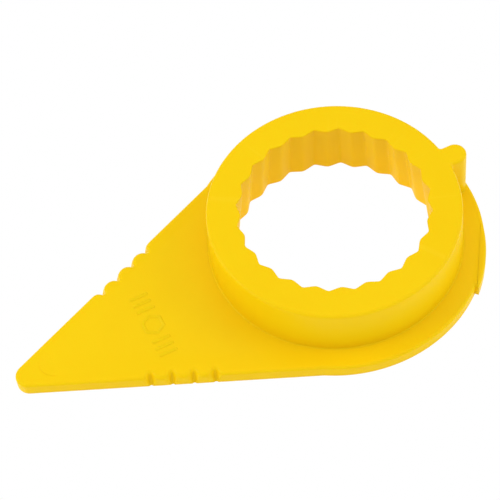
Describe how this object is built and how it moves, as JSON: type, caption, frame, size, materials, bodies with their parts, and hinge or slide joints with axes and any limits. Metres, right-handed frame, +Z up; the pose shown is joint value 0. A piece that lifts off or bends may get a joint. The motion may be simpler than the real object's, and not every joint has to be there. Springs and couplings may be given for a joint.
{
  "type": "loose wheel nut indicator",
  "caption": "Flat plastic pointer on a flanged ring with a scalloped, tapered socket that is pushed over a hexagon wheel nut to show if it turns.",
  "frame": {"origin": "axis of the nut socket, at the underside", "axes": "+X from the socket axis to the pointer's tip, +Z up out of the collar"},
  "size_m": [0.0566, 0.034, 0.0081],
  "materials": {
    "yellow_plastic": "satin injection moulding, bright yellow all through"
  },
  "bodies": {
    "root": {"nut_collar": "yellow_plastic", "base_flange": "yellow_plastic", "pointer_blade": "yellow_plastic", "tail_tab": "yellow_plastic", "size_mark": "yellow_plastic"}
  },
  "joints": []
}
